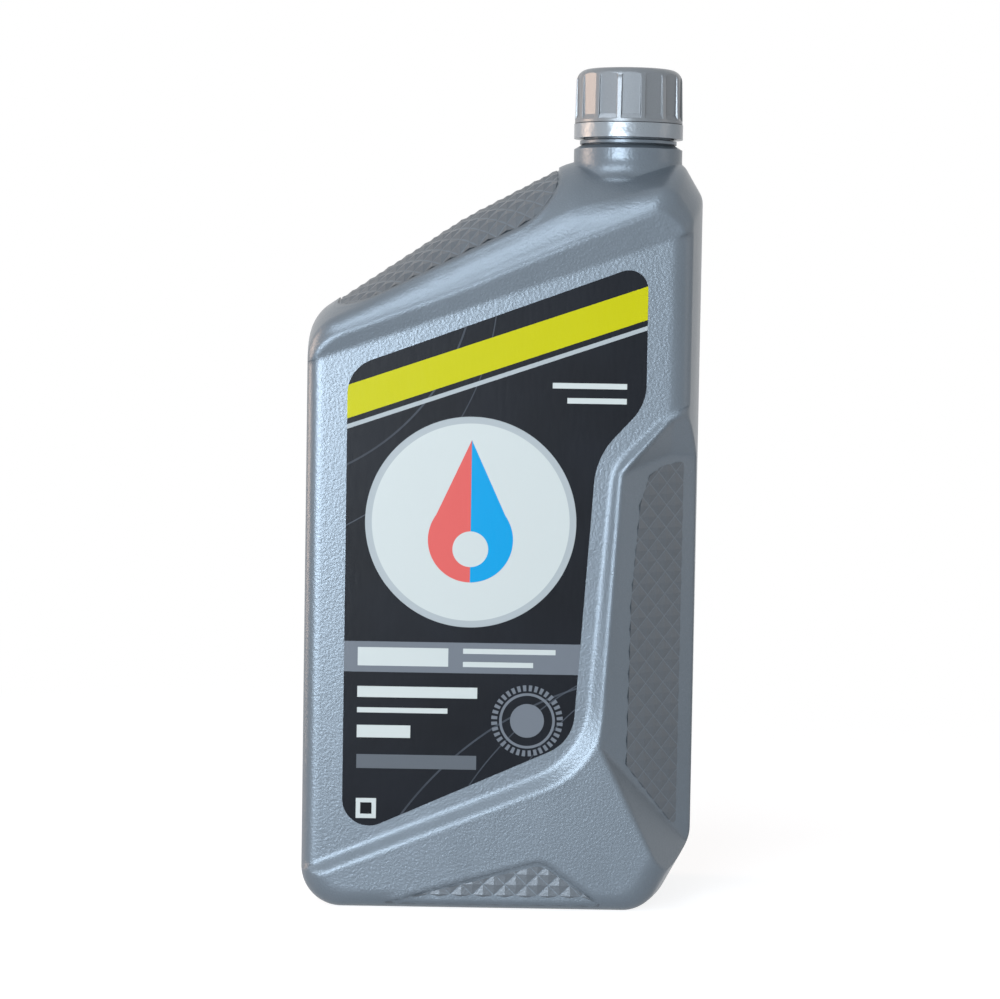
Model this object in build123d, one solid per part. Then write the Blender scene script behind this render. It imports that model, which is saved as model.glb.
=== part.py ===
from build123d import *
import math
import os

# Motor oil bottle of one US quart. Millimetres, +Z up, front face towards -Y.
# The origin is the middle of the base, on the surface that the bottle stands on.

MM = 1.0

# Body: width across the front, depth front to back, wall of the blown shell
body_width = 108.0 * MM
body_depth = 59.0 * MM
wall = 1.0 * MM
neck_seat_z = 204.6 * MM       # top of the body, where the neck's drum stands
low_shoulder_z = 160.2 * MM    # sharp corner of the low end of the shoulder, at mid depth
shoulder_bend_shares = (0.582, 0.635)  # slight bend of the shoulder line: shares of its run and rise
neck_in = 20.8 * MM            # neck axis, in from the high end wall
front_round = 5.0 * MM         # rounding where the front and back meet the edge walls
side_crown = 1.0 * MM          # how far the low end wall bows out at mid depth
high_side_crown = 5.4 * MM     # the same at the high end wall
round_steps = 4                # sections that make the rounding
inner_round_share = 0.25       # part of a corner's radius lost towards the front face

# The front and back faces end lower than the middle of the shoulder
front_low_drop = 4.7 * MM
front_bend_drop = 18.0 * MM
front_high_drop = 20.5 * MM
front_end_drop = 10.3 * MM
front_end_slope = 9.0 * MM     # drop and run of the short slope at the high end of the front
front_end_run = 6.0 * MM

# Corners of the outline
low_shoulder_round = 12.0 * MM
shoulder_bend_round = 90.0 * MM
neck_side_round = 20.0 * MM
neck_end_round = 5.0 * MM
high_shoulder_round = 6.0 * MM
heel_round = 11.0 * MM
toe_height = 17.5 * MM         # sloped corner under the grip
toe_run = 9.7 * MM
toe_round = 10.0 * MM
end_slope_height = 10.0 * MM   # steep slope beside the neck
end_slope_run = 5.9 * MM

# Base: hollow pushed up inside a standing ring
base_ring = 9.0 * MM
base_hollow = 2.6 * MM
base_trim = 0.2 * MM           # taken off under the ring, to make it flat
base_hollow_round = 8.0 * MM
base_slope = 0.7               # run of the hollow's sides for each unit of height

# Label panel, sunk into the front and the back, open towards both edges: corners of its
# floor and of its rim, as shares of the width and of the front face's height at that place
panel_depth = 1.7 * MM
panel_round = 12.0 * MM
panel_low_edge_round = 4.0 * MM    # rounding between the floor and the low end wall
panel_high_edge_round = 6.5 * MM   # the same at the high end wall
panel_floor_shares = [
    (-0.556, 0.049),
    (-0.556, 0.952),
    (0.556, 0.933),
    (0.556, 0.708),
    (0.398, 0.691),
    (0.276, 0.641),
    (0.216, 0.224),
]
panel_rim_shares = [
    (-0.556, 0.029),
    (-0.556, 0.992),
    (0.556, 0.992),
    (0.556, 0.698),
    (0.413, 0.681),
    (0.300, 0.631),
    (0.255, 0.208),
]
panel_round_shares = (0.1, 0.1, 0.1, 0.1, 0.5, 1.0, 2.0)

# Grip: a slant that takes the front and back corners off beside the panel. Its ends are
# set by corners at the front face and by corners further in.
grip_in = 22.5 * MM            # where the slant starts at its top, in from the high end wall
grip_lean = 0.055              # how far that line leans, for each unit of height
grip_slope = 0.79              # depth gained for each unit towards the wall
grip_top_share = 0.58          # height where the slant's line is set
grip_deep = 26.0 * MM          # depth of the corners further in
grip_end_shares = [
    (0.186, 0.570),
    (0.421, 0.691),
    (0.90, 0.80),
    (0.90, -0.12),
    (0.61, -0.156),
    (0.255, 0.240),
]
grip_deep_shares = [
    (0.186, 0.447),
    (0.421, 0.557),
    (0.90, 0.67),
    (0.90, -0.107),
    (0.72, -0.143),
    (0.37, 0.245),
]

# Shallow sunk fields that carry the pyramid pattern
field_depth = 0.7 * MM
shoulder_field_z = 140.0 * MM  # the cutter starts below the shoulder
shoulder_field_in = 8.0 * MM   # in from the low end wall
shoulder_field_neck_gap = 4.0 * MM
shoulder_field_half = 22.5 * MM
shoulder_field_round = 11.0 * MM
lens_field_shares = [
    (-0.33, -0.02),
    (-0.33, 0.002),
    (0.112, 0.077),
    (0.285, 0.002),
    (0.285, -0.02),
]
lens_field_round = 6.0 * MM
lens_round_shares = (0.01, 0.01, 1.0, 0.01, 0.01)

# Neck
drum_radius = 15.0 * MM
drum_height = 2.9 * MM
drum_cone_height = 1.2 * MM
foot_flare_round = 6.6 * MM     # hollow flare from the drum to the slopes of the shoulder
foot_flare_angle = 58.0
foot_flare_drop = 3.7 * MM     # corner that the flare rounds, below the neck seat
foot_flare_end = 0.1 * MM      # straight part under the flare, inside the shoulder
neck_radius = 12.1 * MM
bore_radius = 10.75 * MM
neck_height = 22.3 * MM        # mouth above the neck seat
mouth_round = 0.5 * MM
ring_radius = 13.4 * MM        # ring under the tamper band
ring_height = 0.9 * MM
ring_gap = 0.25 * MM
ring_step = 0.4 * MM           # the drum's cone ends this far inside the ring
bead_radius = 13.3 * MM        # bead that holds the tamper band down
bead_height = 1.3 * MM
bead_slope = 0.8 * MM

# Thread
pitch = 4.2 * MM
thread_crest_radius = 13.0 * MM
thread_root_width = 1.9 * MM
thread_crest_width = 0.9 * MM
thread_turns = 1.5
thread_below_mouth = 2.2 * MM  # upper end of the neck's thread
thread_sink = 0.25 * MM        # root of a thread inside the wall that carries it

# Cap and tamper band
cap_radius = 14.6 * MM
cap_foot_radius = 14.9 * MM
cap_top = 1.5 * MM
cap_inside_radius = 13.35 * MM
cap_edge_round = 3.4 * MM
cap_dome_gap = 0.1 * MM        # the draft of the sides ends this far below the rounding
cap_foot_height = 0.9 * MM     # plain foot below the flats
cap_thread_play = 0.35 * MM    # between the flanks that bear on each other
flat_count = 14
flat_depth = 0.55 * MM
rib_width = 1.1 * MM
flat_ramp = 1.3 * MM
score_gap = 0.15 * MM
band_height = 4.0 * MM
band_radius = 15.05 * MM
band_inside_radius = 13.75 * MM
band_lip_radius = 12.75 * MM
band_lip_height = 1.0 * MM
band_lift = 0.6 * MM           # band above the ring below it
band_lip_slope = 0.6 * MM
band_play = 0.6 * MM           # lip below the bead
seat_gap = 0.1 * MM            # under and over the wad
wad_thickness = 0.9 * MM
wad_play = 0.25 * MM           # around the wad

# Label: corners as shares of the width and of the front face's height at that place
label_thickness = 0.12 * MM
label_round = 10.0 * MM
label_shares = [
    (-0.391, 0.116),
    (-0.391, 0.919),
    (0.354, 0.916),
    (0.354, 0.717),
    (0.232, 0.662),
    (0.185, 0.250),
]
label_round_shares = (0.73, 0.96, 0.52, 1.34, 2.0, 1.15)

# Oil inside
oil_level_z = 182.4 * MM       # gives 943 millilitres, close to one US quart
oil_gap = 0.05 * MM            # between the oil and the wall

cut_over = 5.0 * MM            # one overrun for every cut
tangent_play = 0.02 * MM       # keeps an arc a little short of its neighbour's end

half_depth = body_depth / 2
left_x = -body_width / 2
right_x = body_width / 2
neck_x = right_x - neck_in
mouth_z = neck_seat_z + neck_height
drum_z = neck_seat_z + drum_height
inside_z = neck_seat_z - drum_radius
bead_z = drum_z + drum_cone_height + ring_gap + ring_height + band_lift + band_lip_height + band_play
band_z = drum_z + drum_cone_height + ring_gap + ring_height + band_lift
cap_z = band_z + band_height + score_gap
wad_z = mouth_z + seat_gap
wad_top_z = wad_z + wad_thickness
ceiling_z = wad_top_z + seat_gap
top_z = ceiling_z + cap_top
flat_foot_z = cap_z + cap_foot_height + flat_ramp
wad_radius = cap_inside_radius - wad_play
cap_thread_radius = cap_inside_radius - (thread_crest_radius - neck_radius)
thread_drop = thread_root_width / 2 + thread_crest_width / 2 + cap_thread_play
grip_top_z = neck_seat_z * grip_top_share


# Outlines

def outline(corners, rounds):
    """Closed wire through corners (u, v), each rounded by an arc, lines and arcs in turn."""
    count = len(corners)
    starts = []
    ends = []
    middles = []
    for i in range(count):
        corner = Vector(*corners[i])
        back = (Vector(*corners[i - 1]) - corner).normalized()
        ahead = (Vector(*corners[(i + 1) % count]) - corner).normalized()
        half_angle = math.radians(back.get_angle(ahead)) / 2
        reach = rounds[i] / math.tan(half_angle)
        inward = (back + ahead).normalized()
        middles.append(corner + inward * (rounds[i] / math.sin(half_angle) - rounds[i]))
        starts.append(corner + back * reach)
        ends.append(corner + ahead * reach)
    edges = []
    for i in range(count):
        edges.append(ThreePointArc(starts[i], middles[i], ends[i]))
        edges.append(Line(ends[i], starts[(i + 1) % count]))
    return Wire(edges)


def grown(corners, distance):
    """Corners of a clockwise polygon with every side moved outward."""
    moved = []
    count = len(corners)
    for i in range(count):
        here = Vector(*corners[i])
        side_in = (here - Vector(*corners[i - 1])).normalized()
        side_out = (Vector(*corners[(i + 1) % count]) - here).normalized()
        normal_in = Vector(-side_in.Y, side_in.X)
        normal_out = Vector(-side_out.Y, side_out.X)
        shift = (normal_in + normal_out) * (distance / (1 + normal_in.dot(normal_out)))
        moved.append((here.X + shift.X, here.Y + shift.Y))
    return moved


def grown_rounds(corners, rounds, distance):
    """Radii that go with grown corners: larger outside, smaller in a hollow corner."""
    changed = []
    count = len(corners)
    for i in range(count):
        here = Vector(*corners[i])
        side_in = here - Vector(*corners[i - 1])
        side_out = Vector(*corners[(i + 1) % count]) - here
        turn = side_in.X * side_out.Y - side_in.Y * side_out.X
        changed.append(rounds[i] + (distance if turn < 0 else -distance))
    return changed


def upright(wire, y):
    """Face of an outline drawn in (x, z), stood up in the plane at y."""
    plane = Plane(origin=(0, y, 0), x_dir=(1, 0, 0), z_dir=(0, -1, 0))
    return plane * make_face(wire)


# Body outline, clockwise from the heel: at mid depth and at the front face

bend_x = left_x + (neck_x - drum_radius - left_x) * shoulder_bend_shares[0]
bend_z = low_shoulder_z + (neck_seat_z - low_shoulder_z) * shoulder_bend_shares[1]
middle_corners = [
    (left_x, -base_trim),
    (left_x, low_shoulder_z),
    (bend_x, bend_z),
    (neck_x - drum_radius, neck_seat_z),
    (right_x - end_slope_run, neck_seat_z),
    (right_x, neck_seat_z - end_slope_height),
    (right_x, toe_height),
    (right_x - toe_run, -base_trim),
]
front_right_x = right_x - high_side_crown
front_end_z = neck_seat_z - front_end_drop
front_corners = [
    (left_x + side_crown, -base_trim),
    (left_x + side_crown, low_shoulder_z - front_low_drop),
    (bend_x, bend_z - front_bend_drop),
    (neck_x - drum_radius, neck_seat_z - front_high_drop),
    (front_right_x - front_end_run, front_end_z),
    (front_right_x, front_end_z - front_end_slope),
    (front_right_x, toe_height),
    (front_right_x - toe_run, -base_trim),
]
body_rounds = [
    heel_round,
    low_shoulder_round,
    shoulder_bend_round,
    neck_side_round,
    neck_end_round,
    high_shoulder_round,
    toe_round,
    toe_round,
]

def front_height(x):
    """Height of the front face's upper edge at x, along its long slope."""
    for i in range(1, 3):
        x0, z0 = front_corners[i]
        x1, z1 = front_corners[i + 1]
        if x <= x1:
            return z0 + (z1 - z0) * (x - x0) / (x1 - x0)
    x0, z0 = front_corners[3]
    x1, z1 = front_corners[4]
    return z0 + (z1 - z0) * (x - x0) / (x1 - x0)


def face_points(shares):
    """Points of the front face, by shares of the width and of the face's height there."""
    points = []
    for x_share, z_share in shares:
        x = body_width * x_share
        points.append((x, front_height(x) * z_share))
    return points


def body_section(y, inset, rounding):
    """Face across the body at y, set in by the wall and by a part of the edge rounding."""
    blend = (y / half_depth) ** 2
    corners = []
    for middle, front in zip(middle_corners, front_corners):
        x = middle[0] + (front[0] - middle[0]) * blend
        z = middle[1] + (front[1] - middle[1]) * blend
        corners.append((x, z))
    corners = grown(corners, -inset - rounding * (front_round - inset))
    rounds = []
    for corner_round in body_rounds:
        rounds.append((corner_round - inset) * (1 - rounding * inner_round_share))
    return upright(outline(corners, rounds), y)


def body_blank(inset):
    """Body before its panels: a crowned middle and a rounded edge at the front and the back."""
    reach = half_depth - inset
    radius = front_round - inset
    front = []
    back = []
    for step in range(round_steps + 1):
        angle = math.pi / 2 * step / round_steps
        y = reach - radius * (1 - math.cos(angle))
        rounding = 1 - math.sin(angle)
        front.append(body_section(-y, inset, rounding))
        back.append(body_section(y, inset, rounding))
    middle = loft([front[-1], body_section(0, inset, 0), back[-1]])
    return middle + loft(front) + loft(back)


def panel_block(grow):
    """Everything in front of the panel's floor, with the floor's two rounded edges."""
    floor_y = -half_depth + panel_depth + grow
    low_y = floor_y - grow + panel_low_edge_round
    high_y = floor_y - grow + panel_high_edge_round
    low_x = left_x + side_crown * (low_y / half_depth) ** 2 + grow
    high_x = right_x - high_side_crown * (high_y / half_depth) ** 2 - grow
    corners = [
        (left_x - cut_over, low_y),
        (low_x, low_y),
        (low_x, floor_y),
        (high_x, floor_y),
        (high_x, high_y),
        (right_x + cut_over, high_y),
        (right_x + cut_over, -half_depth - 2 * cut_over),
        (left_x - cut_over, -half_depth - 2 * cut_over),
    ]
    rounds = [0] * len(corners)
    rounds[2] = panel_low_edge_round - grow - tangent_play
    rounds[3] = panel_high_edge_round - grow - tangent_play
    return extrude(make_face(FilletPolyline(*corners, radius=rounds, close=True)), neck_seat_z, dir=(0, 0, 1))


def panel_cutter(grow):
    """Cutter for the front label panel, with its slanted sides carried on past the face."""
    floor = face_points(panel_floor_shares)
    rim = face_points(panel_rim_shares)
    carried = (panel_depth + cut_over) / panel_depth
    outer = []
    for low, high in zip(floor, rim):
        x = low[0] + (high[0] - low[0]) * carried
        z = low[1] + (high[1] - low[1]) * carried
        outer.append((x, z))
    rounds = [panel_round * share for share in panel_round_shares]
    floor_y = -half_depth + panel_depth + grow
    bottom = upright(outline(grown(floor, grow), grown_rounds(floor, rounds, grow)), floor_y)
    top = outline(grown(outer, grow), grown_rounds(outer, rounds, grow))
    slanted = loft([bottom, upright(top, floor_y - panel_depth - cut_over)], ruled=True)
    return (slanted + extrude(bottom, panel_high_edge_round, dir=(0, 1, 0))) & panel_block(grow)


def grip_cutter(grow):
    """Cutter for the slant beside the panel, bounded by its ends."""
    far_x = right_x + cut_over
    slices = []
    for z in (-cut_over, neck_seat_z):
        near_x = right_x - grip_in - (grip_top_z - z) * grip_lean
        near_y = -half_depth + grow * math.hypot(1, grip_slope)
        out_y = -half_depth - cut_over
        start_x = near_x - (near_y - out_y) / grip_slope
        points = [
            (start_x, out_y, z),
            (far_x, out_y, z),
            (far_x, near_y + (far_x - near_x) * grip_slope, z),
        ]
        slices.append(make_face(Polyline(*points, close=True)))
    slant = loft(slices, ruled=True)
    ends = upright(Polyline(*grown(face_points(grip_end_shares), grow), close=True), -half_depth)
    deep_ends = Polyline(*grown(face_points(grip_deep_shares), grow), close=True)
    column = loft([ends, upright(deep_ends, -half_depth + grip_deep)], ruled=True)
    column += extrude(ends, cut_over, dir=(0, -1, 0))
    return slant & column


def base_cutter(grow):
    """Cutter for the hollow pushed up into the base."""
    low_x = left_x + heel_round + base_ring / 2
    high_x = right_x - toe_run - base_ring
    half_y = half_depth - base_ring
    corners = [(low_x, -half_y), (low_x, half_y), (high_x, half_y), (high_x, -half_y)]
    rounds = [base_hollow_round] * len(corners)
    height = base_hollow + grow
    foot = make_face(outline(grown(corners, grow), rounds))
    roof = make_face(outline(grown(corners, grow - height * base_slope), rounds))
    hollow = loft([foot, Pos(0, 0, height) * roof], ruled=True)
    trim = Pos(0, 0, grow - cut_over / 2) * Box(2 * body_width, 2 * body_depth, cut_over)
    return hollow + trim


def shoulder_field(grow):
    """Cutter that sinks the pattern field into the crowned shoulder."""
    low_x = left_x + shoulder_field_in
    high_x = neck_x - drum_radius - shoulder_field_neck_gap
    half_y = shoulder_field_half
    corners = [(low_x, -half_y), (low_x, half_y), (high_x, half_y), (high_x, -half_y)]
    rounds = [shoulder_field_round + grow] * len(corners)
    face = make_face(outline(grown(corners, grow), rounds))
    column = extrude(Pos(0, 0, shoulder_field_z) * face, neck_seat_z, dir=(0, 0, 1))
    return column - body_blank(field_depth + grow)


def lens_field(grow):
    """Cutter that sinks the pattern field into the foot of the front."""
    corners = face_points(lens_field_shares)
    rounds = [lens_field_round * share + grow for share in lens_round_shares]
    face = upright(outline(grown(corners, grow), rounds), -half_depth + field_depth + grow)
    return extrude(face, cut_over, dir=(0, -1, 0))


def body_form(inset):
    """Body with its panels, grips, fields and base hollow, outside or set in by the wall."""
    one_side = [panel_cutter(inset), grip_cutter(inset), lens_field(inset)]
    other_side = [mirror(cutter, about=Plane.XZ) for cutter in one_side]
    form = body_blank(inset) - one_side - other_side
    return form - shoulder_field(inset) - base_cutter(inset)


def turned(points, rounds=0):
    """Solid of revolution about the neck's axis, from points (radius, z) and their rounds."""
    corners = [(radius, 0, z) for radius, z in points]
    face = make_face(FilletPolyline(*corners, radius=rounds, close=True))
    return Pos(neck_x, 0, 0) * revolve(face, Axis.Z)


def helical_thread(root_radius, crest_radius, root_width, crest_width, start_z, turns, sink):
    """Right-hand thread on the neck's axis, sunk a little into the wall that carries it."""
    path = Helix(pitch, pitch * turns, root_radius, center=(0, 0, start_z))
    outward = 1 if crest_radius > root_radius else -1
    back = -outward * sink
    height = crest_radius - root_radius
    points = [
        (root_radius + back, 0, start_z - root_width / 2),
        (root_radius, 0, start_z - root_width / 2),
        (root_radius + height, 0, start_z - crest_width / 2),
        (root_radius + height, 0, start_z + crest_width / 2),
        (root_radius, 0, start_z + root_width / 2),
        (root_radius + back, 0, start_z + root_width / 2),
    ]
    section = make_face(Polyline(*points, close=True))
    return Pos(neck_x, 0, 0) * sweep(section, path, is_frenet=True)


def neck_outside():
    """Drum, ring, bead and threaded neck."""
    cone_z = drum_z + drum_cone_height
    ring_z = cone_z + ring_gap
    angle = math.radians(foot_flare_angle)
    flare_z = neck_seat_z - foot_flare_drop
    reach = foot_flare_round * math.tan(angle / 2) + foot_flare_end
    flare_radius = drum_radius + reach * math.sin(angle)
    points = [
        (0, inside_z),
        (flare_radius, inside_z),
        (flare_radius, flare_z - reach * math.cos(angle)),
        (drum_radius, flare_z),
        (drum_radius, drum_z),
        (ring_radius - ring_step, cone_z),
        (neck_radius, cone_z),
        (neck_radius, ring_z),
        (ring_radius, ring_z),
        (ring_radius, ring_z + ring_height),
        (neck_radius, ring_z + ring_height + ring_gap),
        (neck_radius, bead_z),
        (bead_radius, bead_z),
        (bead_radius, bead_z + bead_height - bead_slope),
        (neck_radius, bead_z + bead_height),
        (neck_radius, mouth_z - mouth_round),
        (neck_radius - mouth_round, mouth_z),
        (0, mouth_z),
    ]
    rounds = [0] * len(points)
    rounds[3] = foot_flare_round
    return turned(points, rounds)


def neck_thread():
    start_z = mouth_z - thread_below_mouth - pitch * thread_turns
    return helical_thread(neck_radius, thread_crest_radius, thread_root_width,
                          thread_crest_width, start_z, thread_turns, thread_sink)


def neck_inside():
    """Bore through the finish, wider inside the drum, open to the body."""
    points = [
        (0, inside_z),
        (drum_radius - wall, inside_z),
        (drum_radius - wall, drum_z - wall),
        (bore_radius, drum_z + drum_cone_height),
        (bore_radius, mouth_z + cut_over),
        (0, mouth_z + cut_over),
    ]
    return turned(points)


def make_bottle():
    return body_form(0) + neck_outside() - make_cavity() + neck_thread()


def make_cavity():
    return body_form(wall) + neck_inside()


def make_oil():
    below = Pos(0, 0, oil_level_z / 2) * Box(body_width, body_depth, oil_level_z)
    return body_form(wall + oil_gap) & below


def make_wad():
    points = [(0, wad_z), (wad_radius, wad_z), (wad_radius, wad_top_z), (0, wad_top_z)]
    return turned(points)


def make_band():
    """Tamper band, held under the neck's bead by its inner lip."""
    points = [
        (band_lip_radius, band_z),
        (band_radius, band_z),
        (band_radius, band_z + band_height),
        (band_inside_radius, band_z + band_height),
        (band_inside_radius, band_z + band_lip_height + band_lip_slope),
        (band_lip_radius, band_z + band_lip_height),
    ]
    return turned(points)


def flat_cutter():
    """Cutter for one recessed flat of the cap, sloped at its foot and at both sides."""
    chord = 2 * math.pi * cap_radius / flat_count - rib_width
    floor_x = cap_radius - flat_depth
    sections = []
    for rise in (0, flat_depth):
        x = floor_x + rise
        foot = flat_foot_z - rise * flat_ramp / flat_depth
        half = (chord + rise - flat_depth) / 2
        high = top_z + cut_over
        points = [(x, -half, foot), (x, half, foot), (x, half, high), (x, -half, high)]
        sections.append(make_face(Polyline(*points, close=True)))
    return loft(sections, ruled=True) + extrude(sections[1], cut_over, dir=(1, 0, 0))


def make_cap():
    """Screw cap: domed shell with recessed flats and an inside thread."""
    points = [
        (0, cap_z),
        (cap_foot_radius, cap_z),
        (cap_radius, top_z - cap_edge_round),
        (cap_radius, top_z),
        (0, top_z),
    ]
    shell = turned(points, [0, 0, 0, cap_edge_round - cap_dome_gap, 0])
    cutters = [Pos(neck_x, 0, 0) * Rot(0, 0, 360 * (i + 0.5) / flat_count) * flat_cutter()
               for i in range(flat_count)]
    shell -= cutters
    shell -= turned([
        (0, cap_z - cut_over),
        (cap_inside_radius, cap_z - cut_over),
        (cap_inside_radius, ceiling_z),
        (0, ceiling_z),
    ])
    start_z = mouth_z - thread_below_mouth - pitch * thread_turns - thread_drop
    thread = helical_thread(cap_inside_radius, cap_thread_radius, thread_root_width,
                            thread_crest_width, start_z, thread_turns, thread_sink)
    return shell + thread


def make_label():
    corners = face_points(label_shares)
    rounds = [label_round * share for share in label_round_shares]
    face = upright(outline(corners, rounds), -half_depth + panel_depth)
    return extrude(face, label_thickness, dir=(0, -1, 0))


def main():
    os.makedirs("parts", exist_ok=True)
    parts = {
        "bottle": make_bottle,
        "oil_fill": make_oil,
        "cap": make_cap,
        "cap_wad": make_wad,
        "tamper_band": make_band,
        "front_label": make_label,
    }
    for name, make in parts.items():
        export_step(make(), f"parts/{name}.step")


if __name__ == "__main__":
    main()
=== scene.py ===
import math
import bpy
from mathutils import Matrix, Vector
from mathutils.bvhtree import BVHTree


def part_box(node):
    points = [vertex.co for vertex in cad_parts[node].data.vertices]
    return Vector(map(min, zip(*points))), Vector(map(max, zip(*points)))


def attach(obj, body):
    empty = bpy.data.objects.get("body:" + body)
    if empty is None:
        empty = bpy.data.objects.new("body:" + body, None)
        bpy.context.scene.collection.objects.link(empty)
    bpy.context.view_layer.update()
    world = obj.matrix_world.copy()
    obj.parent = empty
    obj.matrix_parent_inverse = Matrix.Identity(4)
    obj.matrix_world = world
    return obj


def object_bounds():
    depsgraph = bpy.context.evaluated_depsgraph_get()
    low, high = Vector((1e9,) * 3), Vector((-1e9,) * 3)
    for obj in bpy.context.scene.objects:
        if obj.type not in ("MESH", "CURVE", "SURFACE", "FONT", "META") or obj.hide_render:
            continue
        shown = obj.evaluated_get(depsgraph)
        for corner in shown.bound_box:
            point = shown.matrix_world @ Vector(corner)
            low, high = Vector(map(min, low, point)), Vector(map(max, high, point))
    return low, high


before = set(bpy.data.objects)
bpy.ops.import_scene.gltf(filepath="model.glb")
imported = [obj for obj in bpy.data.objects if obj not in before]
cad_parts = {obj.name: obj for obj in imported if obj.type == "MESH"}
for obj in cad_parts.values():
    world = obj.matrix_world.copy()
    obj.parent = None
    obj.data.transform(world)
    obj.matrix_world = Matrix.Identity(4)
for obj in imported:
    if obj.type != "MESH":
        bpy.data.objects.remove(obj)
cad_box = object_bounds()

# Looks of a silver-grey motor oil bottle. Metres, +Z up, front face towards -Y.

MM = 0.001

outside_y = -2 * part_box("bottle")[0][1]     # well outside the bottle's front and back

# Pyramid patterns: both diagonals of one pyramid and its height, in millimetres
shoulder_pyramid = (5.0, 5.8, 0.5)
foot_pyramid = (5.9, 5.8, 0.22)
grip_pyramid = (4.9, 6.1, 0.3)
pyramid_root = 0.012 * MM       # base sunk into the wall behind it
least_facing = 0.5              # so that a steep wall makes a pyramid at most twice as high

# Outlines of the patterned fields, with each corner's rounding, in millimetres:
# (x, y, rounding) on the shoulder and (x, z, rounding) on the others
shoulder_field = [
    (-45.2, -21.8, 10.4), (-45.2, 21.8, 10.4), (13.6, 21.8, 10.4), (13.6, -21.8, 10.4),
]
foot_field = [(-31.5, 1.2, 0.2), (12.1, 12.5, 5.4), (29.0, 1.2, 0.4)]
grip_field = [
    (35.0, 39.5, 0.8), (35.4, 84.9, 0.8), (37.4, 111.0, 0.8), (39.8, 118.6, 0.8),
    (43.4, 121.2, 0.8), (49.4, 122.4, 0.8), (49.4, 20.4, 0.8),
]
arc_steps = 6


# Outlines and pyramid sheets

def rounded(outline):
    """Outline whose corners are arcs, as points in metres."""
    points = []
    count = len(outline)
    corners = [Vector((u, v)) * MM for u, v, _ in outline]
    for i, corner in enumerate(corners):
        radius = outline[i][2] * MM
        back = (corners[i - 1] - corner).normalized()
        ahead = (corners[(i + 1) % count] - corner).normalized()
        half_angle = back.angle(ahead) / 2
        start = corner + back * radius / math.tan(half_angle)
        centre = corner + (back + ahead).normalized() * radius / math.sin(half_angle)
        swing = (math.pi - 2 * half_angle) / arc_steps
        turn = 1 if back.x * ahead.y - back.y * ahead.x > 0 else -1
        for step in range(arc_steps + 1):
            points.append(centre + Matrix.Rotation(-turn * swing * step, 2) @ (start - centre))
    return points


def clipped(corners, region):
    """Part of a facet (u, v, height) that lies inside a convex outline."""
    centre = sum(region, Vector((0, 0))) / len(region)
    for i, here in enumerate(region):
        side = here - region[i - 1]
        normal = Vector((-side.y, side.x))
        if normal.dot(centre - here) < 0:
            normal = -normal
        kept = []
        for k, corner in enumerate(corners):
            before = corners[k - 1]
            inside = normal.dot(corner.xy - here)
            inside_before = normal.dot(before.xy - here)
            if inside * inside_before < 0:
                share = inside_before / (inside_before - inside)
                kept.append(before + (corner - before) * share)
            if inside >= 0:
                kept.append(corner)
        corners = kept
        if len(corners) < 3:
            return []
    return corners


def bottle_piece(name, vertices, faces):
    """Visible piece that rides on the bottle and is part of its moulding."""
    mesh = bpy.data.meshes.new(name)
    mesh.from_pydata(vertices, [], faces)
    piece = bpy.data.objects.new(name, mesh)
    bpy.context.scene.collection.objects.link(piece)
    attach(piece, "bottle")
    return piece


def pyramid_sheet(name, region, pyramid, lay):
    """Field of low pyramids, laid over the bottle's wall by lay(corner)."""
    half_u, half_v, height = pyramid[0] / 2 * MM, pyramid[1] / 2 * MM, pyramid[2] * MM
    low_u, high_u = min(p.x for p in region), max(p.x for p in region)
    low_v, high_v = min(p.y for p in region), max(p.y for p in region)
    vertices = []
    faces = []
    for row in range(int((high_v - low_v) / half_v) + 2):
        v = low_v + row * half_v
        start = low_u + (row % 2) * half_u
        for column in range(int((high_u - low_u) / (2 * half_u)) + 2):
            u = start + column * 2 * half_u
            top = Vector((u, v, height))
            ring = [Vector((u + half_u, v, 0)), Vector((u, v + half_v, 0)),
                    Vector((u - half_u, v, 0)), Vector((u, v - half_v, 0))]
            for k in range(4):
                facet = clipped([top, ring[k], ring[(k + 1) % 4]], region)
                if facet:
                    faces.append(list(range(len(vertices), len(vertices) + len(facet))))
                    vertices += [lay(corner) for corner in facet]
    return bottle_piece(name, vertices, faces)


bottle = bpy.data.objects["bottle"]
wall = BVHTree.FromPolygons([v.co for v in bottle.data.vertices],
                            [p.vertices for p in bottle.data.polygons])


def on_wall(start, direction, height):
    """Point over the bottle's wall, where a line meets it."""
    hit, normal, _, _ = wall.ray_cast(start, direction)
    return hit - direction * (height - pyramid_root) / max(abs(normal.dot(direction)), least_facing)


def on_shoulder(corner):
    start = Vector((corner.x, corner.y, cad_box[1][2]))
    return on_wall(start, Vector((0, 0, -1)), corner.z)


def on_side(sign):
    """Function that lays corners on the front (-1) or the back (1) of the bottle."""
    def lay(corner):
        start = Vector((corner.x, sign * outside_y, corner.y))
        return on_wall(start, Vector((0, -sign, 0)), corner.z)
    return lay


sheets = [
    pyramid_sheet("shoulder_pyramids", rounded(shoulder_field), shoulder_pyramid, on_shoulder),
]
for side, sign in (("front", -1), ("back", 1)):
    lay = on_side(sign)
    sheets.append(pyramid_sheet("foot_pyramids_" + side, rounded(foot_field), foot_pyramid, lay))
    sheets.append(pyramid_sheet("grip_pyramids_" + side, rounded(grip_field), grip_pyramid, lay))


# Thread on the neck, under the cap

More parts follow.
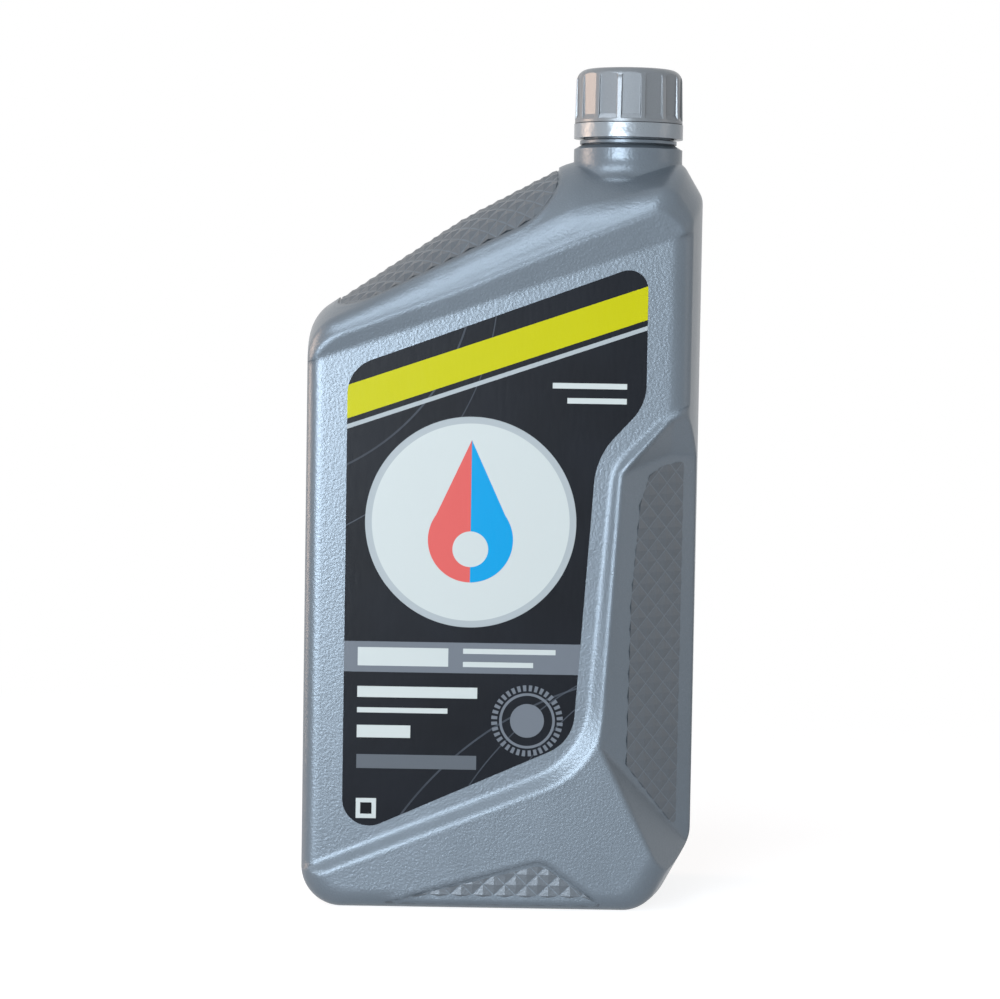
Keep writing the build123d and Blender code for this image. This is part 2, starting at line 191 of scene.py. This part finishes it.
cap_low, cap_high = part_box("cap")
neck_axis = Vector(((cap_low[0] + cap_high[0]) / 2, (cap_low[1] + cap_high[1]) / 2))
thread_below_cap_top = 4.8 * MM
thread_pitch = 4.2 * MM
thread_turns = 1.5
thread_root = 12.06 * MM        # radius, a little inside the neck's wall
thread_height = 0.9 * MM
thread_root_half = 0.95 * MM    # half widths of the thread's section
thread_crest_half = 0.45 * MM
thread_corners = 4              # of that section
thread_steps = 96
thread_run_out = 0.08           # share of the thread in which each end fades


def thread_ring(share):
    """Section of the thread at a share of its length."""
    angle = math.tau * thread_turns * share
    fade = min(1, share / thread_run_out, (1 - share) / thread_run_out)
    middle = cap_high[2] - thread_below_cap_top - thread_pitch * thread_turns * (1 - share)
    section = ((0, -thread_root_half), (thread_height, -thread_crest_half),
               (thread_height, thread_crest_half), (0, thread_root_half))
    return [Vector((neck_axis.x + (thread_root + out * fade) * math.cos(angle),
                    neck_axis.y + (thread_root + out * fade) * math.sin(angle),
                    middle + up)) for out, up in section]


def make_thread():
    corners = []
    faces = []
    for step in range(thread_steps + 1):
        corners += thread_ring(step / thread_steps)
    for step in range(thread_steps):
        first = thread_corners * step
        after = first + thread_corners
        for k in range(thread_corners):
            ahead = (k + 1) % thread_corners
            faces.append((first + k, first + ahead, after + ahead, after + k))
    start = tuple(reversed(range(thread_corners)))
    end = tuple(range(len(corners) - thread_corners, len(corners)))
    faces += [start, end]
    return bottle_piece("neck_thread", corners, faces)


neck_thread = make_thread()


# Node trees

print_edge = 0.08 * MM          # softness of a printed edge
white = (1, 1, 1, 1)


class Value:
    """Output of a node. Python's operators on it add Math nodes."""

    def __init__(self, tree, socket):
        self.tree = tree
        self.socket = socket

    def maths(self, operation, *values, clamp=False):
        settings = {"operation": operation, "use_clamp": clamp}
        return self.tree.add("ShaderNodeMath", settings, dict(enumerate(values)))

    def __add__(self, other):
        return self.maths("ADD", self, other)

    def __sub__(self, other):
        return self.maths("SUBTRACT", self, other)

    def __rsub__(self, other):
        return self.maths("SUBTRACT", other, self)

    def __mul__(self, other):
        return self.maths("MULTIPLY", self, other)

    def __abs__(self):
        return self.maths("ABSOLUTE", self)

    def __mod__(self, other):
        return self.maths("FLOORED_MODULO", self, other)

    def __lt__(self, other):
        """Mask that is 1 where this is the lesser, with a printed edge's softness."""
        return self.maths("MULTIPLY_ADD", other - self, 1 / print_edge, 0.5, clamp=True)

    __radd__ = __add__
    __rmul__ = __mul__

    def least(self, other):
        return self.maths("MINIMUM", self, other)

    def most(self, other):
        return self.maths("MAXIMUM", self, other)

    def root(self):
        return self.maths("SQRT", self)


class Nodes:
    """Nodes of a material or of the world. add() makes any node and gives one output."""

    def __init__(self, tree):
        self.links = tree.links
        self.nodes = tree.nodes

    def add(self, kind, settings, sockets, output=0):
        node = self.nodes.new(kind)
        for name, value in settings.items():
            setattr(node, name, value)
        self.feed(node, sockets)
        return Value(self, node.outputs[output])

    def feed(self, node, sockets):
        for name, value in sockets.items():
            if isinstance(value, Value):
                self.links.new(value.socket, node.inputs[name])
            else:
                node.inputs[name].default_value = value

    def background_rays(self):
        """1 for the rays that show the background, and 0 for those that light the object."""
        camera, gloss, through = (self.add("ShaderNodeLightPath", {}, {}, "Is " + ray + " Ray")
                                  for ray in ("Camera", "Glossy", "Transmission"))
        return camera.most(gloss).most(through)


class Finish(Nodes):
    """Node material of one finish."""

    def __init__(self, name):
        self.material = bpy.data.materials.new(name)
        self.material.use_nodes = True
        super().__init__(self.material.node_tree)
        self.shader = self.nodes["Principled BSDF"]
        self.place = self.add("ShaderNodeTexCoord", {}, {}, "Object")
        self.x, self.y, self.z = (self.add("ShaderNodeSeparateXYZ", {}, {0: self.place}, axis)
                                  for axis in "XYZ")

    def noise(self, size, detail=2.0, stretch=(1, 1, 1)):
        """Noise from 0 to 1, with blotches of about one size."""
        place = self.add("ShaderNodeMapping", {}, {"Vector": self.place, "Scale": stretch})
        sockets = {"Vector": place, "Scale": 1 / size, "Detail": detail}
        return self.add("ShaderNodeTexNoise", {}, sockets)

    def mix(self, mask, low, high):
        """Colour or normal that goes from low to high with the mask."""
        return self.add("ShaderNodeMix", {"data_type": "RGBA"}, {0: mask, 6: low, 7: high}, 2)

    def mix_shaders(self, mask, low, high):
        return self.add("ShaderNodeMixShader", {}, {0: mask, 1: low, 2: high})

    def glow(self, strength):
        return self.add("ShaderNodeEmission", {}, {"Color": white, "Strength": strength})

    def soft_edges(self, radius):
        """Normal that makes edges look rounded by a radius."""
        return self.add("ShaderNodeBevel", {"samples": 8}, {"Radius": radius})

    def bump(self, height, distance, edges=None):
        """Relief of a height, over soft edges where they are given."""
        sockets = {"Height": height, "Distance": distance}
        if edges:
            sockets["Normal"] = edges
        return self.add("ShaderNodeBump", {}, sockets)

    def set(self, **sockets):
        self.feed(self.shader, {name.replace("_", " "): value for name, value in sockets.items()})

    def wear(self, *pieces):
        for piece in pieces:
            piece.data.materials.clear()
            piece.data.materials.append(self.material)


# Plastics, foam and oil

pearl_metallic = 0.5
pearl_specular = 0.35
speck_size = 0.35 * MM
speck_gloss = 0.06              # roughness that the specks add
cloud_size = 14 * MM
cloud_gloss = 0.1               # and the clouds
sharp_edge = 0.25 * MM          # softness of edges from the neck's drum upwards
neck_foot = 204.5 * MM


def pearl_plastic(name, dark, light, grain, relief, edge, roughness):
    """Silver-grey plastic: pearl specks, moulded grain, soft edges and faint uneven gloss."""
    finish = Finish(name)
    specks = finish.noise(speck_size)
    clouds = finish.noise(cloud_size, stretch=(1, 1, 0.4))
    skin = finish.noise(grain, detail=3.0)
    on_neck = neck_foot - finish.z < 0
    edges = finish.mix(on_neck, finish.soft_edges(edge), finish.soft_edges(sharp_edge))
    finish.set(
        Base_Color=finish.mix(specks * 0.5 + clouds * 0.5, dark, light),
        Metallic=pearl_metallic,
        Specular_IOR_Level=pearl_specular,
        Roughness=roughness + clouds * cloud_gloss + specks * speck_gloss,
        Normal=finish.bump(skin, relief, edges),
    )
    return finish


moulded_plastic = pearl_plastic(
    "moulded_silver_plastic",
    dark=(0.12, 0.147, 0.174, 1), light=(0.172, 0.206, 0.243, 1),
    grain=0.7 * MM, relief=0.075 * MM, edge=2.2 * MM, roughness=0.26,
)
# The bottle's own plastic with its colours painted darker, as painted shade on the patterned fields
pattern_plastic_painted_shade = pearl_plastic(
    "patterned_plastic_painted_shade",
    dark=(0.1, 0.115, 0.132, 1), light=(0.138, 0.157, 0.178, 1),
    grain=0.7 * MM, relief=0.06 * MM, edge=0.1 * MM, roughness=0.3,
)
cap_plastic = pearl_plastic(
    "cap_plastic",
    dark=(0.17, 0.187, 0.205, 1), light=(0.235, 0.256, 0.278, 1),
    grain=0.5 * MM, relief=0.02 * MM, edge=0.3 * MM, roughness=0.26,
)
band_plastic = pearl_plastic(
    "band_plastic",
    dark=(0.22, 0.25, 0.28, 1), light=(0.3, 0.335, 0.37, 1),
    grain=5 * MM, relief=0.4 * MM, edge=0.3 * MM, roughness=0.22,
)

foam_cell = 0.4 * MM
foam_relief = 0.05 * MM
foam_dark, foam_light = (0.72, 0.72, 0.7, 1), (0.84, 0.84, 0.82, 1)
foam_roughness, foam_uneven = 0.6, 0.2
oil_cloud = 20 * MM
oil_dark, oil_light = (0.42, 0.2, 0.03, 1), (0.52, 0.27, 0.05, 1)
oil_roughness, oil_uneven = 0.03, 0.05


def white_foam():
    finish = Finish("white_foam")
    cells = finish.noise(foam_cell)
    finish.set(
        Base_Color=finish.mix(cells, foam_dark, foam_light),
        Roughness=cells * foam_uneven + foam_roughness,
        Normal=finish.bump(cells, foam_relief),
    )
    return finish


def amber_oil():
    finish = Finish("amber_oil")
    depth = finish.noise(oil_cloud)
    finish.set(
        Base_Color=finish.mix(depth, oil_dark, oil_light),
        Roughness=depth * oil_uneven + oil_roughness,
    )
    return finish


moulded_plastic.wear(bottle, neck_thread)
pattern_plastic_painted_shade.wear(*sheets)
cap_plastic.wear(bpy.data.objects["cap"])
band_plastic.wear(bpy.data.objects["tamper_band"])
white_foam().wear(bpy.data.objects["cap_wad"])
amber_oil().wear(bpy.data.objects["oil_fill"])


# Printed label: fields of colour in the label's own plane, sizes in millimetres

ink_black = (0.002, 0.003, 0.005, 1)
ink_charcoal = (0.011, 0.014, 0.021, 1)
ink_streak = (0.09, 0.105, 0.13, 1)
ink_yellow = (0.54, 0.52, 0.002, 1)
ink_pale = (0.6, 0.64, 0.63, 1)
ink_rim = (0.42, 0.46, 0.48, 1)
ink_red = (0.7, 0.12, 0.11, 1)
ink_blue = (0.0, 0.32, 0.66, 1)
ink_grey = (0.17, 0.19, 0.22, 1)
ink_dim = (0.12, 0.135, 0.155, 1)

film_cloud = 26 * MM            # blotches of the dark ground
film_scuff = 1.2 * MM
film_relief = 0.03 * MM
film_specular = 0.1
film_roughness, film_uneven = 0.26, 0.16
# faint arcs: x, z, radius, width
arcs = (
    (60, -20, 78, 0.8), (66, -14, 88, 0.35), (52, -30, 96, 0.5),
    (70, 0, 74, 0.3), (-70, 176, 62, 0.5), (-76, 170, 74, 0.3),
)
# slanted stripes: lower edge where x is zero, height, colour
stripe_slope = 0.3457
stripes = ((147.6, 9.0, ink_yellow), (144.8, 1.2, ink_rim))
# pale disc with a two-coloured drop that has a pale hole
disc_x, disc_z, disc_radius = -8.5, 105.5, 28.5
disc_rim = 1.8
drop_down = 4.8                 # drop's centre below the disc's
drop_radius = 11.5
drop_tip = 2.35                 # tip above the drop's centre, in its radii
drop_waist = 0.4                # and the lower end of its point
drop_slope = 0.46               # half width of the point for each unit below the tip
drop_hole = 0.42                # the hole's radius, in the drop's
drop_hole_down = 2.5            # the hole's centre below the drop's
# plain bars: left, right, low, high, colour, each painted over those before it
bars = (
    (-45, 30, 64.5, 72.8, ink_grey),
    (-38.5, -14, 66.2, 71.2, ink_pale), (-10, 15, 69.8, 71.2, ink_pale),
    (-10, 9, 66.2, 67.6, ink_pale), (-38.5, -6, 57.6, 60.6, ink_pale),
    (-38.5, -14, 53.4, 54.8, ink_pale), (-38.5, -24, 46.6, 50.0, ink_pale),
    (13, 33, 142.0, 143.5, ink_pale), (17, 33, 138.0, 139.5, ink_pale),
    (-38.5, -33, 24.5, 30.0, ink_pale), (-37.3, -34.2, 25.7, 28.8, ink_black),
    (-38.5, -6, 38.2, 42.0, ink_dim),
)
# ring of ticks around a plain disc
seal_x, seal_z = 7.6, 51.8
tick_count = 36
tick_radius, tick_length = 8.9, 1.6
tick_share = 0.28               # of the step from tick to tick, to each side
seal_ring_radius, seal_ring_width = 7.2, 0.7
seal_disc_radius = 4.6


class Print(Finish):
    """The label's film: masks in millimetres, painted one over the other."""

    def __init__(self, name):
        super().__init__(name)
        self.colour = ink_charcoal

    def paint(self, mask, colour):
        self.colour = self.mix(mask, self.colour, colour)

    def bar(self, left, right, low, high):
        centre_x, centre_z = (left + right) / 2 * MM, (low + high) / 2 * MM
        across = abs(self.x - centre_x) < (right - left) / 2 * MM
        return across * (abs(self.z - centre_z) < (high - low) / 2 * MM)

    def distance(self, x, z):
        run, rise = self.x - x * MM, self.z - z * MM
        return (run * run + rise * rise).root()

    def disc(self, x, z, radius):
        return self.distance(x, z) < radius * MM

    def ring(self, x, z, radius, width):
        return abs(self.distance(x, z) - radius * MM) < width / 2 * MM

    def slanted(self, foot, height):
        """Stripe that rises to the right, with its lower edge at foot where x is zero."""
        middle = (foot + height / 2) * MM
        return abs(self.z - self.x * stripe_slope - middle) < height / 2 * MM

    def drop(self, x, z):
        """Round drop with a straight-sided point."""
        tip = (z + drop_tip * drop_radius) * MM
        waist = (z + drop_waist * drop_radius) * MM
        beside = abs(self.x - x * MM)
        point = (beside < (tip - self.z) * drop_slope) * (waist - self.z < 0)
        return self.disc(x, z, drop_radius).most(point)

    def ticks(self, x, z):
        """Ring of short radial ticks."""
        run, rise = self.x - x * MM, self.z - z * MM
        turn = self.add("ShaderNodeMath", {"operation": "ARCTAN2"}, {0: rise, 1: run})
        across = abs((turn * (tick_count / math.tau)) % 1 - 0.5)
        return self.ring(x, z, tick_radius, tick_length) * (across * MM < tick_share * MM)


def oil_label():
    label = Print("printed_film")
    clouds = label.noise(film_cloud, detail=4.0)
    label.paint(clouds, ink_black)
    for arc in arcs:
        label.paint(label.ring(*arc) * clouds, ink_streak)
    for foot, height, colour in stripes:
        label.paint(label.slanted(foot, height), colour)
    label.paint(label.disc(disc_x, disc_z, disc_radius), ink_rim)
    label.paint(label.disc(disc_x, disc_z, disc_radius - disc_rim), ink_pale)
    drop_z = disc_z - drop_down
    drop = label.drop(disc_x, drop_z)
    label.paint(drop, ink_red)
    label.paint(drop * (disc_x * MM - label.x < 0), ink_blue)
    label.paint(label.disc(disc_x, drop_z - drop_hole_down, drop_radius * drop_hole), ink_pale)
    for left, right, low, high, colour in bars:
        label.paint(label.bar(left, right, low, high), colour)
    label.paint(label.ticks(seal_x, seal_z), ink_grey)
    label.paint(label.ring(seal_x, seal_z, seal_ring_radius, seal_ring_width), ink_grey)
    label.paint(label.disc(seal_x, seal_z, seal_disc_radius), ink_grey)
    scuffs = label.noise(film_scuff, detail=6.0, stretch=(1, 1, 0.25))
    label.set(
        Base_Color=label.colour,
        Roughness=scuffs * film_uneven + film_roughness,
        Specular_IOR_Level=film_specular,
        Normal=label.bump(scuffs, film_relief),
    )
    return label


oil_label().wear(bpy.data.objects["front_label"])


# Floor, world, lights and camera

floor_size = 6.0
floor_blotch = 0.6
floor_roughness = 0.9
floor_dark, floor_light = (0.3, 0.31, 0.33, 1), (0.34, 0.35, 0.37, 1)
floor_glow = 0.84               # added to what the floor reflects near the object
shadow_reach = 0.12             # radius up to which the shadow is full
shadow_fade = 3.0               # share of it that each metre beyond takes away
world_strength = 0.12           # for the rays that light the object


def plain_floor():
    """White floor that keeps the object's shadow near the middle."""
    finish = Finish("plain_floor")
    drift = finish.noise(floor_blotch)
    finish.set(Base_Color=finish.mix(drift, floor_dark, floor_light),
               Roughness=floor_roughness)
    paper = Value(finish, finish.shader.outputs[0])
    lit = finish.add("ShaderNodeAddShader", {}, {0: paper, 1: finish.glow(floor_glow)})
    reach = (finish.x * finish.x + finish.y * finish.y).root()
    away = ((reach - shadow_reach) * shadow_fade).least(1.0).most(0.0)
    shown = finish.mix_shaders(away, lit, finish.glow(1.0))
    seen = finish.mix_shaders(finish.background_rays(), paper, shown)
    finish.feed(finish.nodes["Material Output"], {"Surface": seen})
    return finish


bpy.ops.mesh.primitive_plane_add(size=floor_size, location=(0, 0, cad_box[0][2]))
floor = bpy.context.object
floor.name = "studio_floor"
plain_floor().wear(floor)


def plain_world():
    """World that looks white and gives only a little light."""
    world = bpy.data.worlds.new("studio")
    bpy.context.scene.world = world
    world.use_nodes = True
    air = Nodes(world.node_tree)
    strength = air.background_rays().most(world_strength)
    air.feed(air.nodes["Background"], {"Color": white, "Strength": strength})


plain_world()


# Lamps: place, size, power in watts and colour. All point at the object's middle.

object_middle = (0, 0, 0.12)
daylight = (0.87, 0.94, 1.0)
lamps = {
    "front_softbox": ((-0.3, -0.86, 0.12), (0.46, 0.42), 9.4, daylight),
    "top_strip": ((-0.26, -0.4, 0.82), (0.6, 0.16), 2.8, daylight),
    "warm_left_card": ((-0.6, 0.1, 0.25), (0.2, 0.5), 2.0, (1.0, 0.66, 0.46)),
    "warm_right_card": ((0.9, -0.15, 0.25), (0.2, 0.5), 0.3, (1.0, 0.8, 0.66)),
}
for name, (place, size, power, colour) in lamps.items():
    data = bpy.data.lights.new(name, "AREA")
    data.shape = "RECTANGLE"
    data.size, data.size_y = size
    data.energy = power
    data.color = colour
    light = bpy.data.objects.new(name, data)
    light.location = place
    towards = Vector(object_middle) - Vector(place)
    light.rotation_euler = towards.to_track_quat("-Z", "Y").to_euler()
    bpy.context.scene.collection.objects.link(light)


# Camera, at the photograph's place

picture_width = 1000            # pixels
focal_length = 3000             # pixels
view_drop = 195                 # pixels from the picture's middle up to the level line of sight
roll = 0.95                     # degrees
camera_place = (-0.0007, -0.8355, 0.1643)
sensor_width = 36.0

data = bpy.data.cameras.new("photo_camera")
data.sensor_width = sensor_width
data.lens = sensor_width * focal_length / picture_width
camera = bpy.data.objects.new("photo_camera", data)
tilt = Matrix.Rotation(math.pi / 2 - math.atan(view_drop / focal_length), 4, "X")
spin = Matrix.Rotation(math.radians(roll), 4, "Z")
camera.matrix_world = Matrix.Translation(camera_place) @ tilt @ spin
bpy.context.scene.collection.objects.link(camera)
bpy.context.scene.camera = camera
bpy.context.scene.view_settings.view_transform = "Standard"
